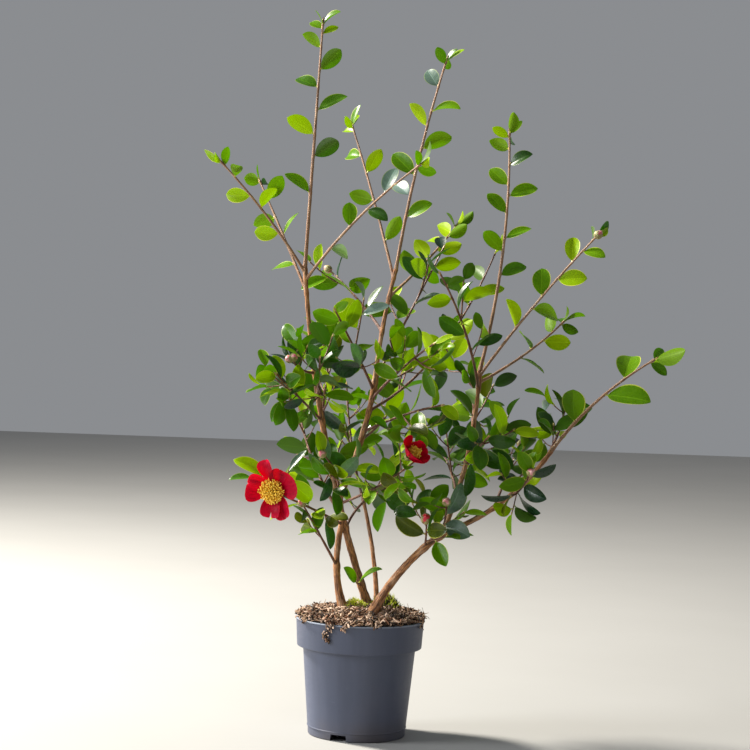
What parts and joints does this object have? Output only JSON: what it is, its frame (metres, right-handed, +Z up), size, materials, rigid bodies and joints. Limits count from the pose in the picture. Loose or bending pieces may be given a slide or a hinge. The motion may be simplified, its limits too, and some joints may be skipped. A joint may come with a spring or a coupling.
{
  "type": "potted camellia shrub",
  "caption": "Young open-branched camellia shrub in flower, in a round plastic nursery pot filled with bark compost.",
  "frame": {"origin": "middle of the pot's flat underside", "axes": "+Z up, -Y towards the front of the shrub, where its open flower faces, +X to the right seen from there"},
  "size_m": [0.6186, 0.3544, 0.9479],
  "materials": {
    "pot": "matte blue-grey moulded plastic, paler on its rolled lip",
    "compost": "rough shredded bark and fibre, tan to dark brown, with moss",
    "bark": "orange-brown bark with fine lengthwise fissures",
    "foliage": "glossy leathery green leaves, yellow-green where light shines through"
  },
  "bodies": {
    "root": {"pot": "pot", "compost": "compost", "stem_left": "bark", "stem_centre": "bark", "stem_right": "bark", "stem_back": "bark", "bough_inner": "bark", "bough_leader": "bark", "bough_right_upper": "bark", "bough_right_outer": "bark", "tall_leader": "foliage", "outer_left": "foliage", "upper_left": "foliage", "crossing": "foliage", "left_side": "foliage", "left_front": "foliage", "left_inner": "foliage", "left_buds": "foliage", "flower_twig": "foliage", "half_open_twig": "foliage", "inner_twig": "foliage", "left_bud_twig": "foliage", "low_left": "foliage", "back_left": "foliage", "back_centre": "foliage", "low_shoot": "foliage", "inner_left_leader": "foliage", "inner_front": "foliage", "inner_right": "foliage", "right_crossing": "foliage", "middle_front": "foliage", "back_middle": "foliage", "centre_top": "foliage", "centre_left": "foliage", "dark_leader": "foliage", "centre_right": "foliage", "right_top": "foliage", "right_outer_leader": "foliage", "right_low_leader": "foliage", "right_front": "foliage", "right_inner": "foliage", "right_back": "foliage", "fork_twig": "foliage", "red_bud_twig": "foliage", "pink_bud_twig": "foliage", "outer_tip": "foliage", "outer_upper": "foliage", "outer_inner": "foliage", "outer_front": "foliage"}
  },
  "joints": []
}
